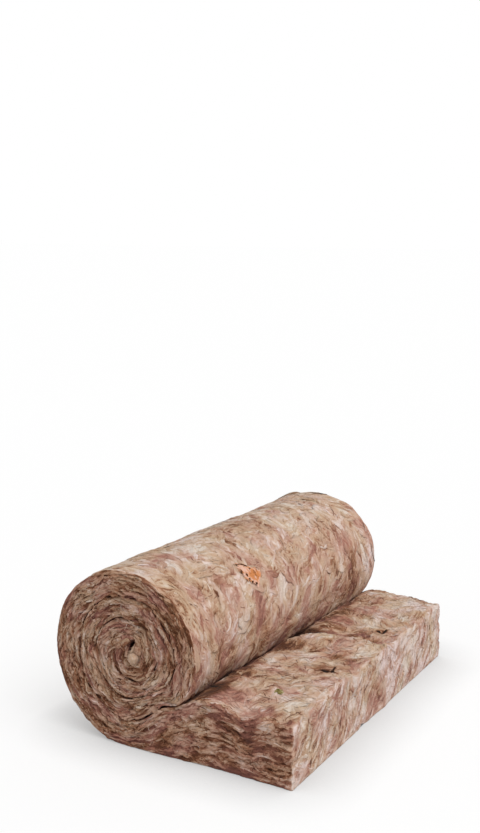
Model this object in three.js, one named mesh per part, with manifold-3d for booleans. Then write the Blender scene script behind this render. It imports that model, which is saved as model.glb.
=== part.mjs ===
// Insulation roll: one length of mineral wool blanket, mostly rolled up, with
// its last stretch opened out flat into a tail. One solid.
// Units are millimetres. X runs from the roll to the cut end of the tail,
// Y is the roll's axis, Z is up, and the underside lies on z = 0.
// While it is being shaped, x = 0 is the cut end and y = 0 the middle.
import * as THREE from 'three';
import { mergeVertices } from 'three/addons/utils/BufferGeometryUtils.js';
import Module from 'manifold-3d';

// ---- driving dimensions -------------------------------------------------
// blanket and tail
const blanket_width = 600;
const tail_thickness = 96;
const tail_rise_at_roll = 8;
const tail_reach = 281;
const tail_top_length = 140;
const cut_skew = 18;

// roll: a spiral counted in turns from the underside inwards
const roll_radius = 156;
const core_seam_radius = 13;
const turn_count = 3.85;
const outer_turn_slack = 20;
const slack_decay = 1.6;
const rest_flattening = 6.5;
const rest_blend = 4;

// crevice between the roll and the tail, and the lip of the tail beside it
const crevice_turn = 0.865;
const crevice_gap = 2;
const lip_reach = 34;
const lip_side = 21;
const lip_height = 26;

// seam that shows the turns on both ends
const seam_width = 4;
const seam_depth = 15;
const seam_lead = 0.02;

// split between the two plies of the outer turn
const split_first_turn = 0.05;
const split_last_turn = 0.34;
const split_width = 3;
const split_depth = 10;

// bore left at the core, above the spiral's centre
const core_bore_diameter = 18;
const core_bore_rise = 9;

// soft ripple of the roll's outside
const roll_ripple = 1.3;
const ripple_length = 230;

// Swells and dips of the tail's top. x is from the cut end, y from the near
// side; each rises at its centre and fades out over its two reaches.
const tail_swells = [
  { x: -12, y: 155, rise: 8, reach_x: 60, reach_y: 42 },
  { x: -60, y: 100, rise: 4, reach_x: 70, reach_y: 40 },
  { x: -90, y: 325, rise: 9, reach_x: 90, reach_y: 40 },
  { x: -85, y: 415, rise: -8, reach_x: 80, reach_y: 42 },
  { x: -30, y: 545, rise: 7, reach_x: 80, reach_y: 60 },
  { x: -82, y: 0, rise: -12, reach_x: 26, reach_y: 48 }
];

// ---- resolution ---------------------------------------------------------
const roll_outline_points = 64;
const tail_outline_points = 12;
const width_steps = 32;
const seam_points_per_turn = 40;
const bore_segments = 24;

// ---- dependent sizes ----------------------------------------------------
const half_width = blanket_width / 2;
const roll_centre_x = -tail_reach;
const roll_centre_z = roll_radius - rest_flattening;
const full_turn = Math.PI * 2;
const cut_overrun = 5;
const turn_pitch = (roll_radius - core_seam_radius - slackAt(turn_count)) / turn_count;

// How much closer the spiral lies than an evenly wound one: the outer turn is
// looser than the rest, so most of this is gone within the first turn.
function slackAt(turn) {
  return outer_turn_slack * (1 - Math.exp(-slack_decay * turn));
}

function spiralRadius(turn) {
  return roll_radius - turn_pitch * turn - slackAt(turn);
}

// Point of the spiral in the side plane (x, z), moved outwards by an offset.
function spiralPoint(turn, offset) {
  const angle = -Math.PI / 2 - full_turn * turn;
  const radius = spiralRadius(turn) + offset;
  const x = roll_centre_x + radius * Math.cos(angle);
  const z = roll_centre_z + radius * Math.sin(angle);
  return new THREE.Vector2(x, z);
}

// Height of the underside: the spiral eases into the floor where it rests.
function restHeight(z) {
  if (z >= rest_blend) {
    return z;
  }
  if (z <= -rest_blend) {
    return 0;
  }
  return (z + rest_blend) ** 2 / (4 * rest_blend);
}

// Turn number at which the outline of the roll leaves the floor.
function restTurn() {
  const step = 0.0002;
  let turn = 0;
  while (spiralPoint(turn, 0).y < -rest_blend) {
    turn += step;
  }
  return turn;
}

// ---- side profile -------------------------------------------------------
function tailTopPoints(lip_start) {
  const points = [];
  for (let i = 0; i <= tail_outline_points; i += 1) {
    const share = i / tail_outline_points;
    const rise = tail_rise_at_roll * THREE.MathUtils.smoothstep(share, 0, 1);
    points.push(new THREE.Vector2(lip_start.x * share, tail_thickness + rise));
  }
  return points;
}

function lipPoints(lip_start) {
  const foot = spiralPoint(crevice_turn, crevice_gap);
  const lip = new THREE.CubicBezierCurve(
    lip_start,
    new THREE.Vector2(foot.x + lip_reach, lip_start.y),
    new THREE.Vector2(foot.x + lip_side, foot.y + lip_height),
    foot
  );
  return lip.getPoints(tail_outline_points).slice(1);
}

function rollPoints() {
  const points = [];
  const last_turn = restTurn();
  for (let i = 0; i <= roll_outline_points; i += 1) {
    const share = i / roll_outline_points;
    const turn = THREE.MathUtils.lerp(crevice_turn, last_turn, share);
    const point = spiralPoint(turn, 0);
    point.y = restHeight(point.y);
    points.push(point);
  }
  points[points.length - 1].y = 0;
  return points;
}

function sideProfile() {
  const lip_start = new THREE.Vector2(-tail_top_length, tail_thickness + tail_rise_at_roll);
  const corner = new THREE.Vector2(0, 0);
  return new THREE.Shape([corner, ...tailTopPoints(lip_start), ...lipPoints(lip_start), ...rollPoints()]);
}

// Turns a shape drawn in the side plane into a prism along Y.
function prismAlongY(shape, y_start, length, steps) {
  const settings = { depth: length, steps: steps, bevelEnabled: false };
  const geometry = new THREE.ExtrudeGeometry(shape, settings);
  geometry.rotateX(Math.PI / 2);
  geometry.translate(0, y_start + length, 0);
  return geometry;
}

// ---- soft outer surfaces ------------------------------------------------
// Share of a swell or ripple that is left at a point: none at the floor and
// none at the crevice, so the underside stays flat and the crevice shut.
function softness(x, z) {
  const crevice = spiralPoint(crevice_turn, 0);
  const from_crevice = Math.hypot(x - crevice.x, z - crevice.y);
  const off_floor = THREE.MathUtils.smoothstep(z, 0, tail_thickness / 2);
  return off_floor * THREE.MathUtils.smoothstep(from_crevice, 20, 90);
}

function swellHeight(x, y) {
  let height = 0;
  for (const swell of tail_swells) {
    const along = (x - swell.x) / swell.reach_x;
    const across = (y + half_width - swell.y) / swell.reach_y;
    height += swell.rise * Math.exp(-(along ** 2) - across ** 2);
  }
  return height;
}

function rippleHeight(angle, y) {
  const along = (y / ripple_length) * full_turn;
  return roll_ripple * (Math.sin(3 * angle + along) + 0.5 * Math.sin(5 * angle - 1.6 * along));
}

function softenBody(geometry) {
  const position = geometry.getAttribute('position');
  const crevice = spiralPoint(crevice_turn, 0);
  const tail_top = tail_thickness + tail_rise_at_roll + 1;
  for (let i = 0; i < position.count; i += 1) {
    let x = position.getX(i);
    const y = position.getY(i);
    let z = position.getZ(i);
    if (x > crevice.x && z < tail_top) {
      const end_share = THREE.MathUtils.clamp(1 + x / tail_top_length, 0, 1);
      z += softness(x, z) * swellHeight(x, y);
      x -= cut_skew * end_share * (y / blanket_width + 0.5);
    } else {
      const angle = Math.atan2(z - roll_centre_z, x - roll_centre_x);
      const height = softness(x, z) * rippleHeight(angle, y);
      x += height * Math.cos(angle);
      z += height * Math.sin(angle);
    }
    position.setXYZ(i, x, y, z);
  }
  return geometry;
}

// ---- cutters ------------------------------------------------------------
// Ribbon that follows the spiral between two turn numbers.
function ribbonShape(first_turn, last_turn, width, radius_shift) {
  const count = Math.ceil((last_turn - first_turn) * seam_points_per_turn);
  const outer_side = [];
  const inner_side = [];
  for (let i = 0; i <= count; i += 1) {
    const turn = THREE.MathUtils.lerp(first_turn, last_turn, i / count);
    const shift = radius_shift(turn);
    outer_side.push(spiralPoint(turn, shift + width / 2));
    inner_side.push(spiralPoint(turn, shift - width / 2));
  }
  return new THREE.Shape(outer_side.concat(inner_side.reverse()));
}

// The same ribbon cut into both ends of the roll.
function ribbonCutters(shape, depth) {
  const length = depth + cut_overrun;
  const near_cutter = prismAlongY(shape, -half_width - cut_overrun, length, 1);
  const far_cutter = prismAlongY(shape, half_width - depth, length, 1);
  return [near_cutter, far_cutter];
}

function seamCutters() {
  const on_spiral = () => 0;
  const shape = ribbonShape(crevice_turn - seam_lead, turn_count, seam_width, on_spiral);
  return ribbonCutters(shape, seam_depth);
}

function splitCutters() {
  const mid_turn = (turn) => (spiralRadius(turn + 1) - spiralRadius(turn)) / 2;
  const shape = ribbonShape(split_first_turn, split_last_turn, split_width, mid_turn);
  return ribbonCutters(shape, split_depth);
}

function coreCutter() {
  const circle = new THREE.Shape();
  const centre_z = roll_centre_z + core_bore_rise;
  circle.absarc(roll_centre_x, centre_z, core_bore_diameter / 2, 0, full_turn, false);
  const outline = new THREE.Shape(circle.getPoints(bore_segments / 2).slice(0, -1));
  return prismAlongY(outline, -half_width - cut_overrun, blanket_width + 2 * cut_overrun, 1);
}

// ---- cutting ------------------------------------------------------------
const wasm = await Module();
wasm.setup();

function toSolid(geometry) {
  const bare = new THREE.BufferGeometry();
  bare.setAttribute('position', geometry.getAttribute('position').clone());
  const merged = mergeVertices(bare, 0.001);
  const vertProperties = new Float32Array(merged.getAttribute('position').array);
  const triVerts = new Uint32Array(merged.index.array);
  return new wasm.Manifold(new wasm.Mesh({ numProp: 3, vertProperties, triVerts }));
}

function toGeometry(solid) {
  const mesh = solid.getMesh();
  const positions = new Float32Array(mesh.vertProperties);
  const geometry = new THREE.BufferGeometry();
  geometry.setAttribute('position', new THREE.BufferAttribute(positions, 3));
  geometry.setIndex(new THREE.BufferAttribute(new Uint32Array(mesh.triVerts), 1));
  return geometry;
}

// Puts the middle of the footprint at the origin, with the underside on z = 0.
function standAtOrigin(geometry) {
  geometry.computeBoundingBox();
  const box = geometry.boundingBox;
  geometry.translate(-(box.min.x + box.max.x) / 2, -(box.min.y + box.max.y) / 2, -box.min.z);
  return geometry;
}

function blanketGeometry() {
  const blank = prismAlongY(sideProfile(), -half_width, blanket_width, width_steps);
  let solid = toSolid(softenBody(blank));
  for (const cutter of [...seamCutters(), ...splitCutters(), coreCutter()]) {
    solid = solid.subtract(toSolid(cutter));
  }
  const geometry = standAtOrigin(toGeometry(solid)).toNonIndexed();
  geometry.computeVertexNormals();
  return geometry;
}

// ---- assembly -----------------------------------------------------------
const wool = new THREE.MeshStandardMaterial({
  name: 'wool',
  color: new THREE.Color().setRGB(0.47, 0.31, 0.23),
  roughness: 0.95,
  metalness: 0
});

const wool_blanket = new THREE.Mesh(blanketGeometry(), wool);
wool_blanket.name = 'wool_blanket';

const insulation_roll = new THREE.Group();
insulation_roll.name = 'insulation_roll';
insulation_roll.add(wool_blanket);

export default insulation_roll;
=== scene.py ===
"""Looks of the insulation roll: a brown mineral wool blanket, rolled up with its tail open.

The blanket is one strip. A place in it is u, v, w: u runs along it from the tail's cut end to the
core, v through it from 0 on top to 1 beneath, and w across it from the near side. A turn of the
roll is counted inwards from the floor below the roll's axis."""
import bpy
import math
from typing import Callable, NamedTuple
import numpy as np
from mathutils import Matrix, Vector


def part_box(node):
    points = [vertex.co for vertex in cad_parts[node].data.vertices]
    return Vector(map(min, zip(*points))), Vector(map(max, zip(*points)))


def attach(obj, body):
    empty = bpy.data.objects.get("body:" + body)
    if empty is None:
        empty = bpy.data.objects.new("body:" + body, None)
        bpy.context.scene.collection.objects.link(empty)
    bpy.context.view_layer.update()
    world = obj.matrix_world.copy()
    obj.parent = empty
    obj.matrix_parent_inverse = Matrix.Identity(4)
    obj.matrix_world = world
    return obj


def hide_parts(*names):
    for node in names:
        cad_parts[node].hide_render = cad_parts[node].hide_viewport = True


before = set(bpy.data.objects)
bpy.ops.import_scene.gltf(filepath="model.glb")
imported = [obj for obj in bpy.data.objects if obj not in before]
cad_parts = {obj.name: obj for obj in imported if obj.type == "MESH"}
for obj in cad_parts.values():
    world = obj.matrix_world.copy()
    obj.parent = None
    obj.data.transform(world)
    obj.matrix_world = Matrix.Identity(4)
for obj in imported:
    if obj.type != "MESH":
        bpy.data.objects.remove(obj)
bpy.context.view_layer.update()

# ---- sizes of the CAD blanket, in metres ---------------------------------------------------
BLANKET_LOW, BLANKET_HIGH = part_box("wool_blanket")
CUT_X = BLANKET_HIGH[0]
NEAR_Y = BLANKET_LOW[1]
WIDTH = BLANKET_HIGH[1] - BLANKET_LOW[1]
TAIL_THICKNESS = 0.096
TAIL_RISE_AT_ROLL = 0.008
TAIL_REACH = 0.281
TAIL_TOP_LENGTH = 0.140
CUT_SKEW = 0.018
ROLL_RADIUS = 0.156
TURN_COUNT = 3.85
OUTER_TURN_SLACK = 0.020
SLACK_DECAY = 1.6
SEAM_GAP = 0.0016
CORE_SEAM_RADIUS = 0.013
CORE_BORE = 0.018
LEAST_BORE = 0.0012
REST_FLATTENING = 0.0065
REST_BLEND = 0.004
CREVICE_TURN = 0.865
CREVICE_GAP = 0.002
LIP_REACH, LIP_SIDE, LIP_HEIGHT = 0.034, 0.021, 0.026
ROLL_X = CUT_X - TAIL_REACH
ROLL_Z = ROLL_RADIUS - REST_FLATTENING
# swells of the tail: x from the cut end, w from the near side, reach each way, and rise
TAIL_SWELLS = (
    (-0.012, 0.155, 0.060, 0.042, 0.008),
    (-0.060, 0.100, 0.070, 0.040, 0.004),
    (-0.090, 0.325, 0.090, 0.040, 0.009),
    (-0.085, 0.415, 0.080, 0.042, -0.008),
    (-0.030, 0.545, 0.080, 0.060, 0.007),
    (-0.082, 0.000, 0.026, 0.048, -0.012),
)

# ---- resolution of the blanket's mesh ------------------------------------------------------
TAIL_STEP = 0.0030
ROLL_STEP = 0.0044
WIDTH_STEP = 0.0038
PLY_ROWS = 36
PROFILE_POINTS = 40
TAIL_STATIONS = 60
ROLL_STATIONS = 1200

# ---- noise and small helpers ---------------------------------------------------------------
GRADIENTS = np.random.default_rng(7).normal(size=(256, 3))
GRADIENTS /= np.linalg.norm(GRADIENTS, axis=1)[:, None]
SHUFFLE = np.random.default_rng(11).permutation(256)


def noise(x, y, z, seed=0):
    """Smooth noise, about -1 to 1, at the points x, y, z."""
    x, y, z = np.broadcast_arrays(np.asarray(x, float) + 31.7 * seed, y, z)
    cells = [np.floor(axis).astype(np.int64) for axis in (x, y, z)]
    parts = [axis - cell for axis, cell in zip((x, y, z), cells)]
    eases = [part**3 * (part * (part * 6 - 15) + 10) for part in parts]
    total = np.zeros(x.shape)
    for i in (0, 1):
        hash_x = SHUFFLE[(cells[0] + i) & 255]
        share_x = eases[0] if i else 1 - eases[0]
        for j in (0, 1):
            hash_xy = SHUFFLE[hash_x ^ ((cells[1] + j) & 255)]
            share_xy = share_x * (eases[1] if j else 1 - eases[1])
            for k in (0, 1):
                slope = GRADIENTS[SHUFFLE[hash_xy ^ ((cells[2] + k) & 255)]]
                height = (slope[..., 0] * (parts[0] - i) + slope[..., 1] * (parts[1] - j)
                          + slope[..., 2] * (parts[2] - k))
                total += share_xy * (eases[2] if k else 1 - eases[2]) * height
    return total * 1.7


def layered(x, y, z, seed=0, octaves=2):
    """Noise with finer layers on top, about -1 to 1."""
    total, most = 0.0, 0.0
    for octave in range(octaves):
        size, grain = 0.55**octave, 2.05**octave
        total = total + size * noise(x * grain, y * grain, z * grain, seed + 3 * octave)
        most += size
    return total / most


def only_where(mask, function, *values, **options):
    """function of the values where the mask holds, and 0 elsewhere."""
    mask, *values = np.broadcast_arrays(mask, *values)
    result = np.zeros(mask.shape)
    if mask.any():
        result[mask] = function(*[value[mask] for value in values], **options)
    return result


def smoothstep(x, start, end):
    """0 before the start and 1 beyond the end, eased between them; the start may be the higher."""
    t = np.clip((np.asarray(x, float) - start) / (end - start), 0, 1)
    return t * t * (3 - 2 * t)


def blob(a, b, at_a, at_b, reach_a, reach_b):
    """1 at a place, fading away round it."""
    return np.exp(-((a - at_a) / reach_a) ** 2 - ((b - at_b) / reach_b) ** 2)


def blobs(table, a, b):
    """Sum of a table's blobs. Each row has a place, its reach each way and its height."""
    return sum(height * blob(a, b, *where) for *where, height in table)


def fading(distance, reach):
    """1 where the distance is 0 or less, fading away over the reach."""
    return np.exp(-np.maximum(distance, 0) / reach)


def unit(vectors):
    return vectors / (np.linalg.norm(vectors, axis=-1, keepdims=True) + 1e-9)


# ---- the side profile, as in the CAD -------------------------------------------------------
def slack(turn):
    return OUTER_TURN_SLACK * (1 - np.exp(-SLACK_DECAY * turn))


TURN_PITCH = (ROLL_RADIUS - CORE_SEAM_RADIUS - slack(TURN_COUNT)) / TURN_COUNT


def spiral_radius(turn):
    return ROLL_RADIUS - TURN_PITCH * turn - slack(turn)


def spiral_angle(turn):
    return -math.pi / 2 - 2 * math.pi * np.asarray(turn)


def spiral_point(turn, offset=0.0):
    radius = spiral_radius(turn) + offset
    return ROLL_X + radius * np.cos(spiral_angle(turn)), ROLL_Z + radius * np.sin(spiral_angle(turn))


def from_axis(points):
    """x and z of points from the roll's axis."""
    return points[..., 0] - ROLL_X, points[..., 2] - ROLL_Z


def rest_height(z):
    """Height of the roll's outside where it is pressed flat on the floor."""
    eased = (z + REST_BLEND) ** 2 / (4 * REST_BLEND)
    return np.where(z >= REST_BLEND, z, np.where(z <= -REST_BLEND, 0.0, eased))


def inner_radius(turn):
    """Radius of the blanket's upper face in the roll: the next turn's outside, or the bore."""
    next_turn = spiral_radius(np.minimum(turn + 1, TURN_COUNT)) + SEAM_GAP / 2
    bore = np.maximum(CORE_BORE * np.sin(spiral_angle(turn)), LEAST_BORE)
    return next_turn + (bore - next_turn) * smoothstep(turn, TURN_COUNT - 1, TURN_COUNT - 0.93)


def tail_top_line():
    """Points (x, z) of the upper face, from under the roll's axis out to the cut end."""
    share = np.linspace(0, 1, PROFILE_POINTS)
    top = np.stack([CUT_X - TAIL_TOP_LENGTH * share,
                    TAIL_THICKNESS + TAIL_RISE_AT_ROLL * smoothstep(share, 0, 1)], 1)
    start = top[-1]
    foot = np.array(spiral_point(CREVICE_TURN, CREVICE_GAP))
    over = np.array([foot[0] + LIP_REACH, start[1]])
    under = foot + (LIP_SIDE, LIP_HEIGHT)
    t = share[1:, None]
    lip = (1 - t) ** 3 * start + 3 * (1 - t) ** 2 * t * over + 3 * (1 - t) * t * t * under + t**3 * foot
    seam_turns = np.linspace(CREVICE_TURN, 1.0, PROFILE_POINTS)[1:]
    seam = np.stack(spiral_point(seam_turns, CREVICE_GAP), 1)
    return np.concatenate([top, lip, seam])[::-1]


TOP_LINE = tail_top_line()
CREVICE_X = spiral_point(CREVICE_TURN)[0]


def swell_height(x, w):
    """Rise of the tail's top at x, w metres from the near side."""
    return blobs(TAIL_SWELLS, x - CUT_X, w) * smoothstep(x, CREVICE_X + 0.02, CREVICE_X + 0.09)


def station_table():
    """Length along the blanket from its cut end, with the x and turn number there."""
    tail_x = np.linspace(CUT_X, ROLL_X, TAIL_STATIONS)
    turns = np.linspace(0, TURN_COUNT, ROLL_STATIONS)
    middle = (spiral_radius(turns) + inner_radius(turns)) / 2
    steps = np.diff(turns) * 2 * math.pi * (middle[1:] + middle[:-1]) / 2
    length = np.concatenate([CUT_X - tail_x, TAIL_REACH + np.cumsum(steps)])
    x = np.concatenate([tail_x, np.full(len(steps), ROLL_X)])
    return length, x, np.concatenate([np.zeros(TAIL_STATIONS), turns[1:]])


LENGTH_AT, X_AT, TURN_AT = station_table()
BLANKET_LENGTH = float(LENGTH_AT[-1])


def turn_at(u):
    return np.interp(u, LENGTH_AT, TURN_AT)


def x_at(u):
    return np.interp(u, LENGTH_AT, X_AT)


def u_of_turn(turn):
    return np.interp(turn, TURN_AT[TAIL_STATIONS - 1:], LENGTH_AT[TAIL_STATIONS - 1:])


TOP_LENGTH = float(CUT_X - CREVICE_X)
SKIN_RANGE = (float(u_of_turn(0.03)), float(u_of_turn(CREVICE_TURN + 0.01)))


def smooth_place(u, v, w):
    """Point of the blanket with no relief, the way from its upper to its under face, and thickness."""
    u, v, w = np.broadcast_arrays(np.asarray(u, float), v, w)
    x = np.where(u < 0, CUT_X - u, x_at(u))
    turn = turn_at(u)
    on_tail = u < TAIL_REACH
    top = np.interp(x, TOP_LINE[:, 0], TOP_LINE[:, 1]) + swell_height(x, w)
    skew = CUT_SKEW * np.clip(1 + (x - CUT_X) / TAIL_TOP_LENGTH, 0, None) * w / WIDTH
    outer = spiral_radius(turn) - np.where(turn > CREVICE_TURN, SEAM_GAP / 2, 0)
    inner = inner_radius(turn)
    radius = inner + (outer - inner) * v
    cos, sin = np.cos(spiral_angle(turn)), np.sin(spiral_angle(turn))
    outer_z = ROLL_Z + outer * sin
    rest = np.where(turn < 0.5, (rest_height(outer_z) - outer_z) * np.clip(v, 0, 1) ** 2, 0)
    point = np.stack([np.where(on_tail, x - skew, ROLL_X + radius * cos), NEAR_Y + w,
                      np.where(on_tail, top * (1 - v), ROLL_Z + radius * sin + rest)], -1)
    zero = np.zeros(u.shape)
    outward = np.stack([np.where(on_tail, zero, cos), zero, np.where(on_tail, -1.0, sin)], -1)
    return point, outward, np.where(on_tail, top, outer - inner)


def under_shown(u):
    """1 where the under face is the roll's outer skin, 0 beneath the tail and inside the roll."""
    turn = turn_at(u)
    return smoothstep(turn, 0.03, 0.10) * smoothstep(turn, CREVICE_TURN + 0.01, CREVICE_TURN - 0.02)


def upper_shown(u):
    """1 where the upper face is the tail's open top."""
    return smoothstep(x_at(u), CREVICE_X, CREVICE_X + 0.02) * (u < TAIL_REACH)


# ---- the blanket's relief ------------------------------------------------------------------
# Each layer of noise is divided by its wavelengths, in metres, and multiplied by its height.
END_DEPTH, CUT_DEPTH = 0.035, 0.030
ROLL_END_PROUD = 0.007
END_SET_BACK = 0.0004
FAR_SWELL = 0.005
SEAM_LIFT = 0.024
# x, z and the reach each way
SEAM_LIFT_PLACE = (ROLL_X + 0.055, 0.055, 0.040, 0.035)
SEAM_DEPTH, SEAM_WIDTH = 0.0032, 0.0034
LAMINATIONS = (0.16, 0.31, 0.47, 0.60, 0.74, 0.88)
LAMINATION_DEPTH, LAMINATION_WIDTH = 0.0036, 0.0016
# lumps and hollows of wool round the bore: x and z from the roll's axis, reach each way, and rise
CORE_LUMPS = (
    (0.010, -0.003, 0.0085, 0.0085, 0.003),
    (0.032, 0.015, 0.012, 0.012, 0.005),
    (-0.020, 0.019, 0.010, 0.010, 0.004),
    (-0.017, 0.000, 0.010, 0.010, -0.004),
)
# balls of wool at the bore's mouth: x and z from the roll's axis, how far proud of the end's
# plane, reach along x, y and z, tone and pinkness
CORE_BALLS = (
    (0.0100, -0.0030, 0.0085, (0.0085, 0.0075, 0.0085), 1.0, -0.6),
    (0.0180, 0.0105, 0.0050, (0.0075, 0.0060, 0.0080), 0.3, 0.1),
)
# the bore's mouth, drawn in to a slanting slit: x and z of its ends, half width and depth
CORE_VOID = (0.008, 0.023, -0.004, 0.003, 0.0070, 0.009)
# the gap of the innermost seam over the mouth, which loose wool covers: x and z of its ends, and
# half width
CORE_ARC = (-0.030, 0.014, 0.008, 0.027, 0.007)
# the way across that slit in x and z, the share by which the bore narrows along it, how far round
# the bore that reaches, and how the mouth shifts in x and z
MOUTH_ACROSS = (0.858, -0.515)
MOUTH_PINCH, MOUTH_REACH = 0.40, 0.011
MOUTH_SHIFT = (0.002, 0.004)
# short tears in the tail's top: u and w of both ends, half width and depth
TAIL_SLITS = (
    (0.052, 0.193, 0.038, 0.198, 0.0052, 0.0015),
    (0.038, 0.198, 0.029, 0.198, 0.0030, 0.0010),
    (0.036, 0.203, 0.042, 0.228, 0.0016, 0.0010),
    (0.060, 0.427, 0.047, 0.421, 0.0030, 0.0025),
    (0.047, 0.421, 0.043, 0.440, 0.0030, 0.0025),
)
# the fold that crosses the tail's top, from the cut end to the crevice
FOLD_AT_CUT, FOLD_AT_ROLL = 0.353, 0.296
FOLD_RISE, FOLD_DROP = 0.0045, 0.0095


def roll_skin_relief(u, w):
    """Rise of the roll's skin: lumps, clumps, and a swell towards the far end."""
    broad = layered(u / 0.060, w / 0.045, 0, seed=1) * 0.0022
    clumps = 1 - 2 * np.abs(layered(u / 0.030 + 0.4 * w / 0.02, w / 0.019, 0, seed=2))
    swell = 2.4 * smoothstep(u, 0.64, 0.74) - 0.6 * smoothstep(u, 0.45, 0.60)
    swell = swell - 1.0 * smoothstep(u, 0.76, 0.86)
    return broad + clumps * 0.0010 + FAR_SWELL * swell * smoothstep(w, 0.22, 0.55)


def from_fold(u, w):
    """Distance beyond the fold of the tail's top, towards the far side."""
    wander = 0.007 * noise(u / 0.035, 0.5, 0.5, seed=86)
    return w + wander - FOLD_AT_CUT + (FOLD_AT_CUT - FOLD_AT_ROLL) * u / TOP_LENGTH


def slit_distance(slit, a, b):
    """Distance from the line of a slit, in half widths."""
    a0, b0, a1, b1, half = slit[:5]
    share = ((a - a0) * (a1 - a0) + (b - b0) * (b1 - b0)) / ((a1 - a0) ** 2 + (b1 - b0) ** 2)
    share = np.clip(share, 0, 1)
    thin = 1 - 0.6 * (2 * share - 1) ** 2
    return np.hypot(a - a0 - share * (a1 - a0), b - b0 - share * (b1 - b0)) / (half * thin)


def tail_top_relief(u, w):
    """Rise of the tail's top: lumps, clumps, the fold and the tears."""
    warp = noise(u / 0.05, w / 0.05, 0, seed=5) * 0.5
    broad = layered(u / 0.045 + warp, w / 0.050, 0, seed=3) * 0.0048
    clumps = 1 - 2 * np.abs(layered(u / 0.020, w / 0.030 + warp, 0, seed=4))
    slits = sum(slit[-1] * np.exp(-slit_distance(slit, u, w) ** 2) for slit in TAIL_SLITS)
    beyond = from_fold(u, w)
    crest = FOLD_RISE * np.exp(-((beyond + 0.020) / 0.020) ** 2)
    drop = FOLD_DROP * (0.45 + 0.55 * smoothstep(u, 0.02, 0.12))
    valley = drop * smoothstep(beyond, -0.004, 0.010) * smoothstep(beyond, 0.11, 0.03)
    border = 1 - 0.5 * np.exp(-np.minimum(w, WIDTH - w) / 0.03)
    return (broad + crest - valley + clumps * 0.0022) * border - slits


def ply_scale(u):
    """Length given to v at a rolled end, so that the plies are as thin in the tail as in the roll."""
    return 0.070 + 0.055 * smoothstep(u, 0.36, 0.14)


def end_plies(u, b, side):
    """Gaps between the wavy plies seen at a rolled end: 1 in a gap, 0 on a ply."""
    seed = 26 + 40 * side
    wave = noise(u / 0.026, b / 0.030, 0, seed) + noise(u / 0.012, b / 0.014, 0, seed + 1) * 0.45
    broad = 1 - np.abs(noise(u / 0.050, b / 0.0135 + wave, 0, seed + 2)) * 2.6
    fine = 1 - np.abs(noise(u / 0.026, b / 0.0064 + 1.6 * wave, 0, seed + 3)) * 2.4
    return np.clip(broad, 0, 1) ** 2 * 0.65 + np.clip(fine, 0, 1) ** 2 * 0.55 - 0.25


def seam_pressed(u):
    """1 where the roll's weight presses the first seam shut, under its right side, 0 elsewhere."""
    turn = turn_at(u)
    above = smoothstep(u, TAIL_REACH - 0.078, TAIL_REACH - 0.060) * smoothstep(turn, 0.10, 0.03)
    below = smoothstep(turn, CREVICE_TURN + 0.02, CREVICE_TURN + 0.04) * smoothstep(turn, 1.10, 1.03)
    return above + below


def seam_strength(u, side):
    """How open the seam between two turns is at a rolled end: it comes and goes."""
    strength = np.clip(0.25 + 1.7 * noise(u / 0.034, 0.5, 0.5, 20 + 40 * side), 0.0, 1.2)
    return strength * (1 - 0.85 * seam_pressed(u)) * (1 - 0.7 * smoothstep(turn_at(u), 2.6, 2.9))


def end_place(u, v):
    """x and z from the roll's axis at a rolled end, height above the floor, depth below the upper
    face and height above the under face."""
    point, _, thickness = smooth_place(u, v, 0.0)
    return (*from_axis(point), point[..., 2], np.clip(v, 0, 1) * thickness, np.clip(1 - v, 0, 1) * thickness)


def seam_marks(u, below, above, side, reach):
    """Closeness to the seams with the turns inside and outside, by how open they are."""
    inner = smoothstep(u, TAIL_REACH - 0.08, TAIL_REACH) * fading(below, reach)
    outer = (turn_at(u) > CREVICE_TURN) * fading(above, reach)
    return seam_strength(u, side) * (inner + outer)


def end_recess(u, v, side):
    """How far the wool at a rolled end stands back from the flat end; side is 0 near, 1 far."""
    across, up, _, below, above = end_place(u, v)
    turn, seed = turn_at(u), 20 + 40 * side
    in_roll = smoothstep(np.hypot(across, up), 0.20, 0.135)
    pressed = 0.8 * seam_pressed(u)
    rim = 0.0016 + 0.0006 * smoothstep(turn, TURN_COUNT - 1, TURN_COUNT - 0.9)
    recess = (1 - pressed) * rim * fading(below, 0.0034)
    recess = recess + (1 - (turn > CREVICE_TURN) * pressed) * 0.0020 * fading(above, 0.0036)
    recess = recess + SEAM_DEPTH * seam_marks(u, below, above, side, SEAM_WIDTH)
    wander = noise(u / 0.055, v * 2.0, 0, seed + 1) * 0.055
    for k, at in enumerate(LAMINATIONS):
        open_here = smoothstep(noise(u / 0.050, 7.0 * k, 0, seed + 2), 0.02, 0.55)
        off = (v - at + wander) * (below + above) / LAMINATION_WIDTH
        recess = recess + LAMINATION_DEPTH * open_here * np.exp(-off**2)
    calm = 1 - 0.7 * fading(above, 0.008) * (turn < CREVICE_TURN)
    plies = end_plies(u, v * ply_scale(u), side) * (0.0046 + 0.0014 * in_roll)
    recess = recess + calm * (plies - noise(u / 0.026, v * 2.6, 0, seed + 5) * 0.0020)
    core = CORE_VOID[-1] * np.exp(-slit_distance(CORE_VOID, across, up) ** 2)
    shift = noise(turn * 0.9, 0, 0, seed + 6) * 0.0022 * smoothstep(turn, 0.2, 1.2)
    recess = recess + core - blobs(CORE_LUMPS, across, up)
    return recess - in_roll * (ROLL_END_PROUD + shift) + END_SET_BACK


def cut_pits(v, w):
    """1 in the pits of the cut end, 0 between them."""
    return smoothstep(noise((w + v * 0.09) / 0.013, v * 7.0, 0, seed=93), 0.35, 0.8)


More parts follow.
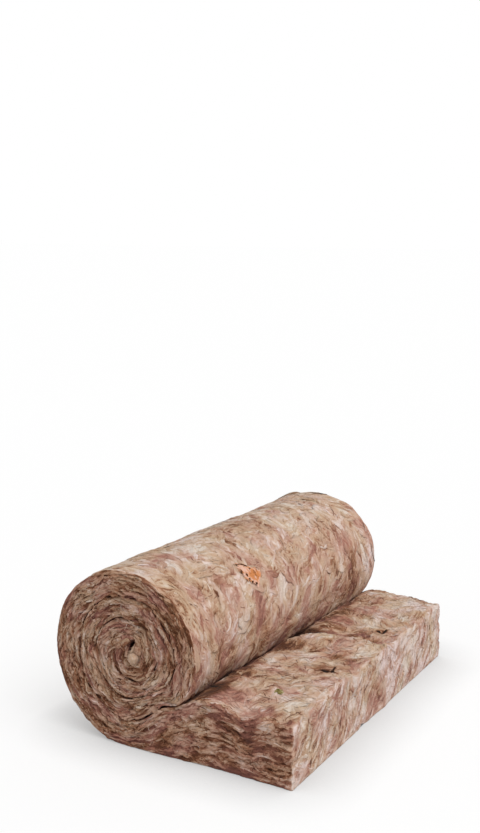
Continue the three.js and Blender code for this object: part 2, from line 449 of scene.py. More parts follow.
def cut_recess(v, w):
    """How far the wool at the cut end stands back from the cut."""
    wave = noise(w / 0.05, v * 1.5, 0, seed=89) * 0.5
    ply = layered((w + v * 0.09) / 0.024, v * 3.2 + wave, 0, seed=90, octaves=3)
    edge = fading(np.minimum(v, 1 - v) * TAIL_THICKNESS, 0.0025) * 0.0022
    notch = 0.004 * blob(w, (1 - v) * TAIL_THICKNESS, 0.250, 0, 0.010, 0.010)
    step = smoothstep(w, 0.352, 0.368) * smoothstep(w, 0.52, 0.40) * np.exp(-(v * 2.2) ** 2)
    notch = notch + 0.005 * step - 0.002 * np.exp(-((w - 0.335) / 0.02) ** 2)
    calm = 1 - 0.75 * np.exp(-(1 - v) * TAIL_THICKNESS / 0.008)
    return calm * (ply * 0.0036 + cut_pits(v, w) * 0.0030 + edge) + notch


def pinch_mouth(x, z, fade):
    """Draw the bore in to a slanting slit, by fade, as the loose wool at its mouth does."""
    from_x, from_z = x - ROLL_X, z - ROLL_Z - CORE_BORE / 2
    beyond = np.maximum(np.hypot(from_x, from_z) - CORE_BORE / 2, 0)
    share = fade * np.exp(-((beyond / MOUTH_REACH) ** 2))
    across = MOUTH_PINCH * (from_x * MOUTH_ACROSS[0] + from_z * MOUTH_ACROSS[1])
    return (x - share * (across * MOUTH_ACROSS[0] - MOUTH_SHIFT[0]),
            z - share * (across * MOUTH_ACROSS[1] - MOUTH_SHIFT[1]))


def settle_seams(x, z):
    """Lift the turns over the tail's root, where the first seam runs flat into the crevice."""
    return z + SEAM_LIFT * blob(x, z, *SEAM_LIFT_PLACE) * smoothstep(z, 0, 0.03)


def turn_wobble(point, from_roll):
    """How far the turns stand off their spiral: the inner ones most, the innermost end not at all."""
    x, y, z = point[..., 0], point[..., 1], point[..., 2]
    wobble = noise(x / 0.050, z / 0.050, y / 0.13, seed=8)
    wobble = wobble + 0.40 * noise(x / 0.017, z / 0.017, y / 0.09, seed=9)
    wobble = wobble * smoothstep(from_roll, 0.01, 0.05) * smoothstep(from_roll, 0.21, 0.17)
    return wobble * (0.0036 - 0.0022 * smoothstep(from_roll, 0.11, 0.15)) * smoothstep(z, 0, 0.05)


def place(u, v, w):
    """Point of the blanket with its relief."""
    u, v, w = np.broadcast_arrays(np.asarray(u, float), v, w)
    point, outward, _ = smooth_place(u, v, w)
    near_fade, far_fade, cut_fade = (np.clip(1 - depth, 0, 1.2) ** 2 for depth in (
        w / END_DEPTH, (WIDTH - w) / END_DEPTH, u / CUT_DEPTH))
    near = only_where(near_fade > 0, end_recess, u, v, side=0) * near_fade
    far = only_where(far_fade > 0, end_recess, u, v, side=1) * far_fade
    cut = only_where(cut_fade > 0, cut_recess, v, w) * cut_fade
    skin, top = under_shown(u) * v, upper_shown(u) * (1 - v)
    push = skin * only_where(skin > 0, roll_skin_relief, u, w)
    push = push - top * only_where(top > 0, tail_top_relief, u, w)
    across, up = from_axis(point)
    from_roll = np.hypot(across, up)
    wobble = turn_wobble(point, from_roll) / (from_roll + 1e-6)
    x = point[..., 0] + outward[..., 0] * push + across * wobble - cut
    z = settle_seams(x, point[..., 2] + outward[..., 2] * push + up * wobble)
    x, z = pinch_mouth(x, z, np.clip(near_fade + far_fade, 0, 1))
    return np.stack([x, point[..., 1] + near - far, np.maximum(z, 0.0)], -1)


# ---- the kinds of face, and how the wool of each lies and looks ----------------------------
SKIN, TOP, NEAR_END, FAR_END, CUT_END = range(5)
ENDS = (NEAR_END, FAR_END)


class Wool(NamedTuple):
    """How the wool of one kind of face lies and looks."""

    lean: float  # mean direction of the fibres, in radians
    swirl: float  # how far it swings over a hand's breadth
    ripple: float  # how far it swings over the ripple's reach
    ripple_reach: float
    streak_share: float  # how much streaks count in the tone
    patch_share: float  # how much patches count in it
    grain: float  # strength of the fine streaks
    stray: float  # how far strands may stray past the face's borders
    area: float  # in square metres


WOOL = {
    SKIN: Wool(0.1, 1.50, 0.75, 0.024, 0.75, 1.32, 0.90, 0.0026, 0.50),
    TOP: Wool(-0.8, 2.0, 1.0, 0.024, 0.75, 1.4, 0.80, 0.0026, 0.125),
    NEAR_END: Wool(0.0, 0.36, 0.50, 0.016, 0.85, 0.40, 1.05, 0.0004, 0.098),
    FAR_END: Wool(0.0, 0.36, 0.50, 0.016, 0.85, 0.40, 1.05, 0.0, 0.098),
    CUT_END: Wool(-0.75, 1.10, 0.60, 0.024, 1.1, 1.15, 1.0, 0.0012, 0.058),
}

# lengths along the blanket where its skin and its top pass out of sight in the crevice
SKIN_SHOWN, TOP_SHOWN = 0.874, 0.175
# Patches of colour, and of painted light and shade. Each row has a place, its reach each way, and how
# much paler and pinker the wool is there; less than 0 is darker or browner. The skin's and the top's
# places are u and w.
# the first row is painted light on the far side of the roll's front
SKIN_COLOUR_AND_LIGHT_PATCHES = (
    (0.815, 0.560, 0.060, 0.035, 0.55, 0),
    (0.652, 0.180, 0.028, 0.120, 0.30, 0),
    (0.800, 0.388, 0.022, 0.032, -0.45, 0),
)
PINK_PATCH = (0.118, 0.042, 0.027, 0.030, -0.8, 1.8)
# apart from the pink patch, the darker rows are painted shade in the top's hollows, most near the crevice;
# the pale row at w 0.53 is painted light on the far side
TOP_COLOUR_LIGHT_SHADE_PATCHES = (
    PINK_PATCH,
    (0.160, 0.040, 0.022, 0.045, 0, -1.3),
    (0.040, 0.060, 0.045, 0.045, 0.55, 0),
    (0.088, 0.014, 0.026, 0.018, 0.9, 0),
    (0.030, 0.530, 0.045, 0.050, 0.4, 0),
    (0.045, 0.145, 0.030, 0.032, -0.5, 0),
    (0.098, 0.165, 0.028, 0.034, -0.5, 0),
    (0.125, 0.200, 0.018, 0.028, -0.6, 0),
    (0.128, 0.268, 0.010, 0.012, -0.8, 0),
    (0.130, 0.045, 0.022, 0.028, -0.7, 0),
    (0.134, 0.128, 0.020, 0.026, -0.9, 0),
    (0.135, 0.440, 0.020, 0.030, -0.5, 0),
    (0.137, 0.238, 0.015, 0.020, -0.8, 0),
    (0.150, 0.249, 0.022, 0.009, -1.4, 0),
    (0.150, 0.370, 0.030, 0.045, -1.0, 0),
    (0.156, 0.050, 0.019, 0.022, -1.5, 0),
    (0.160, 0.022, 0.022, 0.040, -1.5, 0),
    (0.166, 0.264, 0.013, 0.018, -1.2, 0),
    (0.168, 0.062, 0.015, 0.011, -1.0, 0),
    (0.171, 0.126, 0.009, 0.024, -1.1, 0),
    (0.172, 0.178, 0.008, 0.014, -1.0, 0),
)
# the cut end's places are depth below the top and w
CUT_PATCHES = (
    (0.021, 0.097, 0.007, 0.005, -1.6, 0),
    (0.070, 0.312, 0.012, 0.009, -0.6, 0),
    (0.030, 0.345, 0.030, 0.035, 0, 1.1),
    (0.088, 0.290, 0.014, 0.050, 0, 1.0),
)
# the rolled ends' places are x and z from the roll's axis
# the second row is painted shade in the hollow beside the knob
CORE_COLOUR_AND_SHADE_PATCHES = (
    (0.010, -0.003, 0.009, 0.009, 1.0, -0.4),
    (-0.017, 0.000, 0.010, 0.010, -0.6, 0),
)
NEAR_END_PATCHES = (
    *CORE_COLOUR_AND_SHADE_PATCHES,
    (0.078, 0.085, 0.055, 0.045, -0.50, 0),
    (0.122, -0.060, 0.030, 0.015, 1.10, 0),
    (0.100, 0.047, 0.028, 0.034, -0.55, 0),
    (0.214, -0.046, 0.034, 0.013, 1.00, 0),
)


def flow_angle(kind, a, b):
    """Direction of the fibres on a face, in its own two coordinates a and b."""
    wool = WOOL[kind]
    lean, swirl = wool.lean, noise(a / 0.075, b / 0.070, kind, seed=40) * wool.swirl
    ripple = noise(a / wool.ripple_reach, b / wool.ripple_reach, kind, seed=41) * wool.ripple
    if kind in ENDS:
        ripple = ripple * (1 + 1.2 * smoothstep(a, BLANKET_LENGTH - 0.32, BLANKET_LENGTH - 0.10))
    if kind == SKIN:
        lean = lean - 1.15 * smoothstep(b, 0.03, 0.13) * smoothstep(b, 0.56, 0.42)
    return lean + swirl + ripple


def streaks(kind, a, b, grain=0.0062, reach=0.015, count=5):
    """Noise smeared along the fibres, about -1 to 1."""
    total = 0.0
    for direction in (-1, 1):
        x, y = np.array(a, float), np.array(b, float)
        for step in range(count):
            total = total + noise(x / grain, y / grain, kind * 3.3, 50) * (1 - 0.5 * step / count)
            angle = flow_angle(kind, x, y)
            x = x + direction * np.cos(angle) * reach / count
            y = y + direction * np.sin(angle) * reach / count
    return np.clip(total / (count * 0.50), -1.5, 1.5)


def patches(kind, a, b):
    """Uneven patches of tone, about -1 to 1."""
    warp = noise(a / 0.03, b / 0.03, kind, seed=60) * 0.5
    broad = noise(a / 0.075, b / 0.060, kind * 2.7, seed=61)
    return 0.7 * broad + layered(a / 0.026 + warp, b / 0.020 - warp, kind * 2.7, seed=62)


def placed_patches(table, a, b):
    """How much paler and pinker a table's patches make the wool."""
    paler, pinker = 0.0, 0.0
    for *where, pale, pink in table:
        share = blob(a, b, *where)
        paler, pinker = paler + pale * share, pinker + pink * share
    return paler, pinker


def stringiness(kind, a, b):
    """Strength of the fibre streaks: matted smooth in some places, stringy in others."""
    calm = smoothstep(noise(a / 0.034, b / 0.028, kind * 4.1, seed=75), -0.45, 0.45)
    return WOOL[kind].grain * (0.45 + 0.75 * calm)


def shade_skin(a, b, tone, rose):
    """Colour the roll's skin: pale on top, painted light; darker and pinker down its front, partly painted
    shade; painted shade in the crevice.
    """
    lit_top = smoothstep(a, 0.76, 0.66)
    shown = SKIN_SHOWN + 0.004 * noise(b / 0.03, 0.5, 0.5, seed=77)
    paler, pinker = placed_patches(SKIN_COLOUR_AND_LIGHT_PATCHES, a, b)
    # painted light: paler on top; partly painted shade: darker down the front towards the crevice
    tone = tone + 0.25 + paler - 0.75 * smoothstep(a, 0.70, 0.92) + 0.10 * lit_top
    # painted shade in the crevice
    tone = tone - 1.3 * smoothstep(a, shown - 0.006, shown + 0.003)
    rose = rose - 0.02 + pinker - 0.10 * lit_top
    return tone, rose + 0.35 * smoothstep(a, 0.70, 0.80) - 0.15 * smoothstep(a, 0.80, 0.85)


def shade_top(a, b, tone, rose, streak):
    """Colour the tail's top: painted shade in the valley beyond its fold and in its tears, a painted
    highlight on the fold's crest, and mottled painted shade where it passes under the roll and in the
    crevice.
    """
    beyond = from_fold(a, b)
    # painted shade in the valley beyond the fold, and a painted highlight on its crest
    valley = smoothstep(beyond, -0.002, 0.010) * smoothstep(beyond, 0.09, 0.02)
    crest = np.exp(-((beyond + 0.016) / 0.013) ** 2)
    # painted shade in the tears
    slits = sum(np.exp(-slit_distance(slit, a, b) ** 4) for slit in TAIL_SLITS)
    # mottled painted shade where the top passes under the roll
    mottle = 0.75 + 1.3 * noise(a / 0.014, b / 0.017, 0, seed=79)
    root = smoothstep(a, TOP_SHOWN - 0.040, TOP_SHOWN - 0.012) * mottle
    paler, pinker = placed_patches(TOP_COLOUR_LIGHT_SHADE_PATCHES, a, b)
    tone = tone + 0.06 + paler - 0.9 * streak * blob(a, b, *PINK_PATCH[:4])
    tone = tone - valley * (0.1 + 1.5 * a / TOP_LENGTH) + 0.45 * crest - 1.6 * slits
    # painted shade under the roll, darkest in the crevice
    tone = tone - np.clip(root, 0, 1) - 1.1 * smoothstep(a, TOP_SHOWN - 0.005, TOP_SHOWN + 0.006)
    return tone, rose + 0.02 + pinker + 0.5 * valley * smoothstep(a, 0.06, 0.12)


def shade_cut(a, b, tone, rose):
    """Colour the cut end: painted shade in its pits, and paler towards the far side."""
    paler, pinker = placed_patches(CUT_PATCHES, a, b)
    tone = tone + 0.44 + paler + 0.36 * smoothstep(b, 0.30, 0.40)
    # painted shade in the pits
    return tone - 0.8 * cut_pits(a / TAIL_THICKNESS, b), rose + 0.30 + pinker


def shade_end(a, b, tone, rose, kind):
    """Colour a rolled end: painted shade in the gaps between its plies and turns, in the mouth of the bore
    and close to the floor.
    """
    side = float(kind == FAR_END)
    across, up, height, below, above = end_place(a, b / ply_scale(a))
    from_roll = np.hypot(across, up)
    on_tail = smoothstep(from_roll, 0.14, 0.20)
    void = np.exp(-slit_distance(CORE_VOID, across, up) ** 2)
    paler, pinker = placed_patches(CORE_COLOUR_AND_SHADE_PATCHES if side else NEAR_END_PATCHES, across, up)
    # painted shade: darker in the gaps between plies, at the open seams between turns, and close to the
    # floor
    tone = tone + 0.05 + paler + 0.30 * smoothstep(from_roll, 0.16, 0.11) - 1.3 * end_plies(a, b, side)
    tone = tone - 0.9 * seam_marks(a, below, above, side, 0.0022) - 0.8 * fading(height, 0.005)
    # painted shade, dark and reddish, in the bore's mouth
    tone = tone + 0.9 * side * fading(above, 0.006) - 2.4 * void
    tone = tone * (1 + 0.24 * on_tail) + 0.55 * on_tail * noise(a / 0.045, b / 0.024, side, seed=78)
    rose = rose * (1 - 0.5 * on_tail) + 0.25 + 0.11 * on_tail - 0.18 * smoothstep(from_roll, 0.15, 0.09)
    return tone, rose + pinker + 0.9 * void


def colour_fields(kind, a, b):
    """Lightness and pinkness of the wool, each about -1 to 1, with painted light and shade in the lightness,
    and the strength of its streaks.
    """
    wool, grain, streak = WOOL[kind], stringiness(kind, a, b), streaks(kind, a, b)
    rose = 1.7 * layered(a / 0.046, b / 0.036, kind * 1.9, seed=70) - 0.25 * streak
    tone = wool.streak_share * streak * (0.4 + 0.6 * grain) + wool.patch_share * patches(kind, a, b)
    tone = tone - 0.3 * np.clip(rose, 0, 1.2)
    if kind == SKIN:
        tone, rose = shade_skin(a, b, tone, rose)
    elif kind == TOP:
        tone, rose = shade_top(a, b, tone, rose, streak)
    elif kind == CUT_END:
        tone, rose = shade_cut(a, b, tone, rose)
    else:
        tone, rose = shade_end(a, b, tone, rose, kind)
    return tone, rose, grain


# ---- the blanket's mesh --------------------------------------------------------------------
# columns of vertices near each side, and the numbers of those kept where the wool is hidden
EDGE_COLUMNS = (0, 0.0012, 0.0034, 0.0066)
FIRST_EVEN_COLUMN = 0.010
HIDDEN_COLUMNS = (0, 1, 2, 3, 5, 8, 12, 20)


def station_lengths():
    """u of every station: even steps on the tail, and even steps of the outside in the roll."""
    tail = np.linspace(0, TAIL_REACH, round(TAIL_REACH / TAIL_STEP) + 1)[:-1]
    roll, turn = [], 0.0
    while turn < TURN_COUNT:
        roll.append(float(u_of_turn(turn)))
        turn += ROLL_STEP / (2 * math.pi * float(spiral_radius(turn)))
    return np.concatenate([tail, roll, [BLANKET_LENGTH]])


def columns_across():
    """w of every fine column, and the numbers of those kept where the wool is hidden."""
    edge, first = np.array(EDGE_COLUMNS), FIRST_EVEN_COLUMN
    middle = np.linspace(first, WIDTH - first, round((WIDTH - 2 * first) / WIDTH_STEP) + 1)
    fine = np.concatenate([edge, middle, WIDTH - edge[::-1]])
    kept = {*HIDDEN_COLUMNS, len(fine) // 2}
    return fine, sorted(kept | {len(fine) - 1 - k for k in kept})


def sheet_faces(stations, rows, columns, kept):
    """Vertex keys (station, row, column) of the closed sheet, its faces and their kinds."""
    numbers, faces, kinds = {}, [], []

    def add(kind, ring, turned):
        corners = [numbers.setdefault(key, len(numbers)) for key in ring]
        faces.append(corners[::-1] if turned else corners)
        kinds.append(kind)

    last_i, last_v, last_w = len(stations) - 1, len(rows) - 1, len(columns) - 1
    every = list(range(len(columns)))
    middle = (stations[:-1] + stations[1:]) / 2
    skin = (middle > u_of_turn(0.0)) & (middle < u_of_turn(CREVICE_TURN + 0.03))
    top = (x_at(middle) > CREVICE_X - 0.008) & (middle < TAIL_REACH)
    for v, shown, kind in ((last_v, skin, SKIN), (0, top, TOP)):
        for i in range(last_i):
            cols = every if shown[i] else kept
            fine_before = i == 0 or shown[i - 1] or shown[i]
            fine_after = shown[i] or (i + 1 < last_i and shown[i + 1])
            for a, b in zip(cols[:-1], cols[1:]):
                after = range(a, b + 1) if fine_after else (a, b)
                before = range(b, a, -1) if fine_before else (b,)
                ring = [(i, v, a), *((i + 1, v, k) for k in after), *((i, v, k) for k in before)]
                add(kind, ring, v == 0)
    for w, kind in ((0, NEAR_END), (last_w, FAR_END)):
        for i in range(last_i):
            for v in range(last_v):
                add(kind, [(i, v, w), (i + 1, v, w), (i + 1, v + 1, w), (i, v + 1, w)], w > 0)
    for i, cols in ((0, every), (last_i, kept)):
        for v in range(last_v):
            for a, b in zip(cols[:-1], cols[1:]):
                add(CUT_END, [(i, v, a), (i, v + 1, a), (i, v + 1, b), (i, v, b)], i > 0)
    return np.array(list(numbers)), faces, np.array(kinds)


def face_coordinates(kind, u, v, w):
    """The two coordinates that a face's colour fields use."""
    if kind in (SKIN, TOP):
        return u, w
    if kind == CUT_END:
        return v * TAIL_THICKNESS, w
    return u, v * ply_scale(u)


def soften_normals(mesh, facing):
    """Turn the shading normals of flat-lying wool towards the surface below it, by facing's length."""
    own = np.empty(len(mesh.vertices) * 3, np.float32)
    mesh.vertex_normals.foreach_get("vector", own)
    mixed = own.reshape(-1, 3) * (1 - np.linalg.norm(facing, axis=1, keepdims=True)) + facing
    mesh.normals_split_custom_set_from_vertices(unit(mixed).tolist())


def add_object(name, data):
    """A mesh, lamp or camera put into the scene."""
    added = bpy.data.objects.new(name, data)
    bpy.context.scene.collection.objects.link(added)
    return added


def add_mesh(name, points, faces, fields, material):
    """A piece with its fields as attributes, but for facing, which only turns its normals."""
    mesh = bpy.data.meshes.new(name)
    mesh.from_pydata(points.tolist(), [], faces)
    mesh.shade_smooth()
    for field, values in fields.items():
        if field == "facing":
            soften_normals(mesh, values)
        else:
            kind, key = ("FLOAT_VECTOR", "vector") if values.ndim == 2 else ("FLOAT", "value")
            attribute = mesh.attributes.new(field, kind, "POINT")
            attribute.data.foreach_set(key, values.astype(np.float32).ravel())
    mesh.materials.append(material)
    piece = add_object(name, mesh)
    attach(piece, "root")
    return piece


def sheet_blanket(material):
    """The whole blanket as one closed mesh of a rolled strip."""
    stations, rows = station_lengths(), np.linspace(0, 1, PLY_ROWS + 1)
    columns, kept = columns_across()
    keys, faces, kinds = sheet_faces(stations, rows, columns, kept)
    u, v, w = stations[keys[:, 0]], rows[keys[:, 1]], columns[keys[:, 2]]
    totals, faces_seen = np.zeros((3, len(u))), np.zeros(len(u))
    corners, corner_kinds = np.concatenate(faces), np.repeat(kinds, [len(face) for face in faces])
    for kind in WOOL:
        used = np.unique(corners[corner_kinds == kind])
        totals[:, used] += colour_fields(kind, *face_coordinates(kind, u[used], v[used], w[used]))
        faces_seen[used] += 1
    tone, rose, grain = totals / faces_seen
    # side is 1 on the rolled ends, which the material paints darker: partly their own look, partly painted
    # shade; the far end's rim is left out
    at_end = np.minimum(w, WIDTH - w) < 1e-6
    far_rim = (w > WIDTH / 2) & (v > 0.999)
    side = at_end * (u > 0.001) * (1 - far_rim * under_shown(u))
    flow = np.stack([u, v * ply_scale(u), w], 1)
    fields = {"flow": flow, "tone": tone, "rose": rose, "grain": grain, "side": side}
    piece = add_mesh("wool_blanket_sheet", place(u, v, w), faces, fields, material)
    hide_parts("wool_blanket")
    return piece


# ---- flocks and strands of wool lying on the blanket ---------------------------------------
TRIES_PER_PLACE = 8
MOST_THICKNESS = 0.11
# strands lean over near an edge of the blanket, cross its seams by so much where they are shut,
# and keep off the far end's rim and the innermost end
EDGE_ROUND, EDGE_LEAN = 0.005, 1.1
SEAM_CROSSING = 0.006
FAR_RIM_SHY, INNER_END_SHY = 0.004, 0.004
CURL = 0.09
# distance kept from a tear, in its half widths, and how much more for each of them in a strand's width
SLIT_CLEARANCE, WIDE_CLEARANCE = 0.9, 0.35
TIP_SINK, LEAST_HEIGHT = 0.0003, 0.0002


class Style(NamedTuple):
    """Shape and look of a set of strands, with sizes in metres and angles in radians."""

    length: float
    width: float
    height: float
    points: int = 7  # an odd number of places along each strand
    sides: int = 5
    stray: float = 0.10  # how far a strand leans off the flow
    lift: tuple = (0.0, 1.0)  # how far its middle floats up, in heights
    tone_spread: float = 0.3
    tone_shift: float = 0.0
    past: float = 0.0  # how much further it may stray past the face's borders
    lie_flat: float = 0.7  # how far its shading normals turn to the surface below
    follow: float = 1.0  # how much of the flow's turns it takes along its way
    aim: Callable = flow_angle
    paint: Callable = colour_fields
    avoid: tuple = TAIL_SLITS


FLOCK = Style(0.026, 0.0070, 0.0007, points=9, stray=0.45, lift=(-0.8, 0.1), tone_spread=0.25)
STRAND = Style(0.022, 0.0013, 0.0004, 9, 3, 0.75, (-0.5, 0.7), tone_spread=0.60, tone_shift=-0.5)
WAD = Style(0.044, 0.0150, 0.0007, 11, 6, 0.45, (-0.9, -0.5), 0.25, lie_flat=0.4, follow=0.35)
# name, faces, seed, number on each square metre, and style
LAYERS = (
    ("wool_wads_skin", (SKIN,), 6, 1500, WAD),
    ("wool_flocks_skin", (SKIN,), 1, 4600, FLOCK._replace(tone_spread=0.30)),
    ("wool_flocks_tail", (TOP, CUT_END), 2, 9500,
     FLOCK._replace(length=0.024, width=0.0050, height=0.0008, stray=0.55)),
    ("wool_flocks_ends", ENDS, 3, 17500, FLOCK._replace(width=0.0040, height=0.0011, sides=4, stray=0.22)),
    ("wool_strands_skin", (SKIN,), 4, 3600, STRAND),
    ("wool_strands_tail", (TOP, *ENDS, CUT_END), 5, 8500,
     STRAND._replace(length=0.024, width=0.0012, height=0.0006)),
)


def turn_stretch(u, v):
    """Real length along the blanket at v for each metre of u."""
    inner, outer = inner_radius(turn_at(u)), spiral_radius(turn_at(u))
    stretch = (inner + (outer - inner) * v) / ((inner + outer) / 2)
    return np.where(u < TAIL_REACH, 1.0, np.clip(stretch, 0.25, 2.0))


def scatter(kind, count, random):
    """Random places on a face, evenly over its area, as u, v, w."""
    w = random.uniform(0, WIDTH, count)
    if kind == SKIN:
        return random.uniform(*SKIN_RANGE, count), np.ones(count), w
    if kind == TOP:
        return random.uniform(0, TOP_LENGTH, count), np.zeros(count), w
    if kind == CUT_END:
        return np.zeros(count), random.uniform(0, 1, count), w
    tries = TRIES_PER_PLACE * count
    u, v = random.uniform(0, BLANKET_LENGTH, tries), random.uniform(0, 1, tries)
    area = smooth_place(u, v, 0)[2] * turn_stretch(u, v)
    kept = np.flatnonzero(random.uniform(0, MOST_THICKNESS, tries) < area)[:count]
    return u[kept], v[kept], np.full(len(kept), 0.0 if kind == NEAR_END else WIDTH)


def walk(kind, place_at, angle, step):
    """The place one step along a face, at an angle of its own two coordinates."""
    u, v, w = place_at
    along, across = np.cos(angle) * step, np.sin(angle) * step
    if kind in (SKIN, TOP):
        return u + along / turn_stretch(u, v), v, w + across
    if kind == CUT_END:
        return u, v + along / TAIL_THICKNESS, w + across
    return u + along / turn_stretch(u, v), v + across / smooth_place(u, v, 0)[2], w


def outward_of(kind, u, v, w):
    """Way out of a face, leaning over towards the next face near its borders."""
    _, through, thickness = smooth_place(u, v, w)
    x_way, y_way, _ = np.eye(3)
    own = {SKIN: through, TOP: -through, NEAR_END: -y_way, FAR_END: y_way, CUT_END: x_way}[kind]

    def near(distance):
        return (EDGE_LEAN * fading(distance, EDGE_ROUND))[..., None]

    way = np.broadcast_to(own, (*np.shape(u), 3)).copy()
    if kind not in ENDS:
        way += y_way * (near(WIDTH - w) - near(w))
    if kind in (TOP, *ENDS):
        way += x_way * near(u)
    if kind in (*ENDS, CUT_END):
        way += through * near((1 - v) * thickness) * under_shown(u)[..., None]
        way -= through * near(v * thickness) * upper_shown(u)[..., None]
    return unit(way)


def overshoot(kind, u, v, w):
    """How far, in metres, a place lies beyond its face's borders."""
    past_v, past_w = np.maximum(-v, v - 1), np.maximum(-w, w - WIDTH)
    if kind == SKIN:
        return np.maximum(past_w, np.maximum(SKIN_RANGE[0] - u, u - SKIN_RANGE[1]))
    if kind == TOP:
        return np.maximum(past_w, np.maximum(-u, u - TOP_LENGTH))
    if kind == CUT_END:
        return np.maximum(past_w, past_v * TAIL_THICKNESS)
    inner_seam = smoothstep(u, TAIL_REACH - 0.070, TAIL_REACH - 0.055)
    seam = np.where(v < 0.5, inner_seam, turn_at(u) > CREVICE_TURN + 0.02)
    crossing = SEAM_CROSSING * seam * (1 - np.clip(seam_strength(u, float(kind == FAR_END)), 0, 1))
    shy = FAR_RIM_SHY * (kind == FAR_END) * (v > 0.5) * under_shown(u)
    past_v = past_v * smooth_place(u, v, 0)[2] - crossing + shy
    return np.maximum(past_v, np.maximum(-u, u - BLANKET_LENGTH + INNER_END_SHY))


def strand_paths(kind, starts, lengths, random, style):
    """u, v and w along strands that follow the flow both ways from where they start."""
    lean, curl = random.normal(0, style.stray, len(lengths)), random.normal(0, CURL, len(lengths))
    first_angle = style.aim(kind, *face_coordinates(kind, *starts))
    path = [starts]
    for direction in (1, -1):
        at = starts
        for k in range(style.points // 2):
            turned = style.aim(kind, *face_coordinates(kind, *at)) - first_angle
            angle = first_angle + style.follow * turned + lean + curl * k * direction
            at = walk(kind, at, angle, direction * lengths / (style.points - 1))
            path.insert(len(path) if direction > 0 else 0, at)
    return np.moveaxis(np.array(path), 0, 2)


def over_rings(values, sides):
    """Values at the steps of the strands, given to the vertices of their rings and to their tips."""
    return np.concatenate([np.repeat(values[:, 1:-1], sides, 1), values[:, [0, -1]]], 1)


def between_samples(values, steps):
    """Three values of each strand spread over its steps."""
    share = np.linspace(0, 2, steps)
    low = np.minimum(share.astype(int), 1)
    return values[:, low] * (1 - (share - low)) + values[:, low + 1] * (share - low)


def strand_points(kind, paths, random, style):
    """Vertices of tapered strands along their paths, how far each lies aside, and the way out."""
    count, steps = paths.shape[1:]
    share = np.linspace(0, 1, steps)
    swell = np.sin(np.pi * np.clip(share, 0.02, 0.98)) ** 0.7
    middle, normal = place(*paths), outward_of(kind, *paths)
    side = unit(np.cross(unit(np.gradient(middle, axis=1)), normal))
    ragged = 1 + 0.5 * noise(share * 3.1, random.uniform(0, 90, count)[:, None], 0.5, seed=84)
    half = (style.width * random.uniform(0.6, 1.4, count))[:, None] * swell * ragged / 2
    rise = (style.height * random.uniform(0.6, 1.4, count))[:, None] * swell
    float_up = (random.uniform(*style.lift, count) * style.height)[:, None] * np.sin(np.pi * share)
    middle = middle + normal * float_up[..., None]
    around = 2 * np.pi * (np.arange(style.sides) + 0.25) / style.sides
    aside = half[:, 1:-1, None] * np.cos(around)
    above = rise[:, 1:-1, None] * np.where(np.sin(around) > 0, 1.0, 0.35) * np.sin(around)
    rings = middle[:, 1:-1, None] + side[:, 1:-1, None] * aside[..., None]
    rings = rings + normal[:, 1:-1, None] * above[..., None]
    tips = middle[:, [0, -1]] - normal[:, [0, -1]] * TIP_SINK
    points = np.concatenate([rings.reshape(count, -1, 3), tips], 1)
    points[..., 2] = np.maximum(points[..., 2], LEAST_HEIGHT)
    return points, np.concatenate([aside.reshape(count, -1), np.zeros((count, 2))], 1), normal


def strand_faces(count, rings, sides):
    """Faces of closed strands whose vertices are their rings and then their two tips."""
    ring, last_ring, tip = np.arange(sides), (rings - 1) * sides, rings * sides
    after = (ring - 1) % sides
    quads = [np.stack([start + ring, start + after, start + sides + after, start + sides + ring], 1)
             for start in range(0, last_ring, sides)]
    first = np.stack([np.full(sides, tip), after, ring], 1)
    last = np.stack([np.full(sides, tip + 1), last_ring + ring, last_ring + after], 1)
    base = (np.arange(count) * (tip + 2))[:, None, None]
    parts = [part + base for part in (np.concatenate(quads), first, last)]
    return [face for part in parts for face in part.reshape(-1, part.shape[2]).tolist()]


def strokes(kind, starts, random, style):
    """Closed tapered strands that follow the flow over a face: points, faces and fields."""
    lengths = style.length * random.uniform(0.6, 1.4, len(starts[0]))
    paths = strand_paths(kind, starts, lengths, random, style)
    kept = overshoot(kind, *paths).max(1) < WOOL[kind].stray + style.past
    for slit in style.avoid if kind == TOP else ():
        u, _, w = paths[..., 1:-1]
        clearance = SLIT_CLEARANCE + WIDE_CLEARANCE * style.width / slit[4]
        kept &= slit_distance(slit, u, w).min(1) > clearance
    paths, lengths = paths[:, kept], lengths[kept, None]
    count, steps = paths.shape[1:]
    points, aside, normal = strand_points(kind, paths, random, style)
    sampled = paths[..., [1, steps // 2, steps - 2]]
    colours = style.paint(kind, *face_coordinates(kind, *sampled))
    tone, rose, grain = (over_rings(between_samples(field, steps), style.sides) for field in colours)
    tone = tone + random.normal(style.tone_shift, style.tone_spread, count)[:, None]
    identity = np.broadcast_to(random.uniform(0, 10, count)[:, None], tone.shape)
    along = over_rings(lengths * np.linspace(0, 1, steps), style.sides)
    flow = np.stack([along + identity, aside + identity * 0.3, identity], -1)
    facing = over_rings(normal, style.sides) * style.lie_flat
    # side is 1 on the rolled ends, which are painted darker there, partly as painted shade
    fields = {"flow": flow.reshape(-1, 3), "tone": tone.ravel(), "rose": rose.ravel(),
              "side": np.full(tone.size, float(kind in ENDS)), "grain": grain.ravel(),
              "facing": facing.reshape(-1, 3)}
    return points.reshape(-1, 3), strand_faces(count, steps - 2, style.sides), fields


def add_joined(name, parts, material):
    """Add several sets of points, faces and fields as one piece."""
    faces, base = [], 0
    for points, part_faces, _ in parts:
        faces += [[corner + base for corner in face] for face in part_faces]
        base += len(points)
    fields = {key: np.concatenate([part[2][key] for part in parts]) for key in parts[0][2]}
    return add_mesh(name, np.concatenate([part[0] for part in parts]), faces, fields, material)


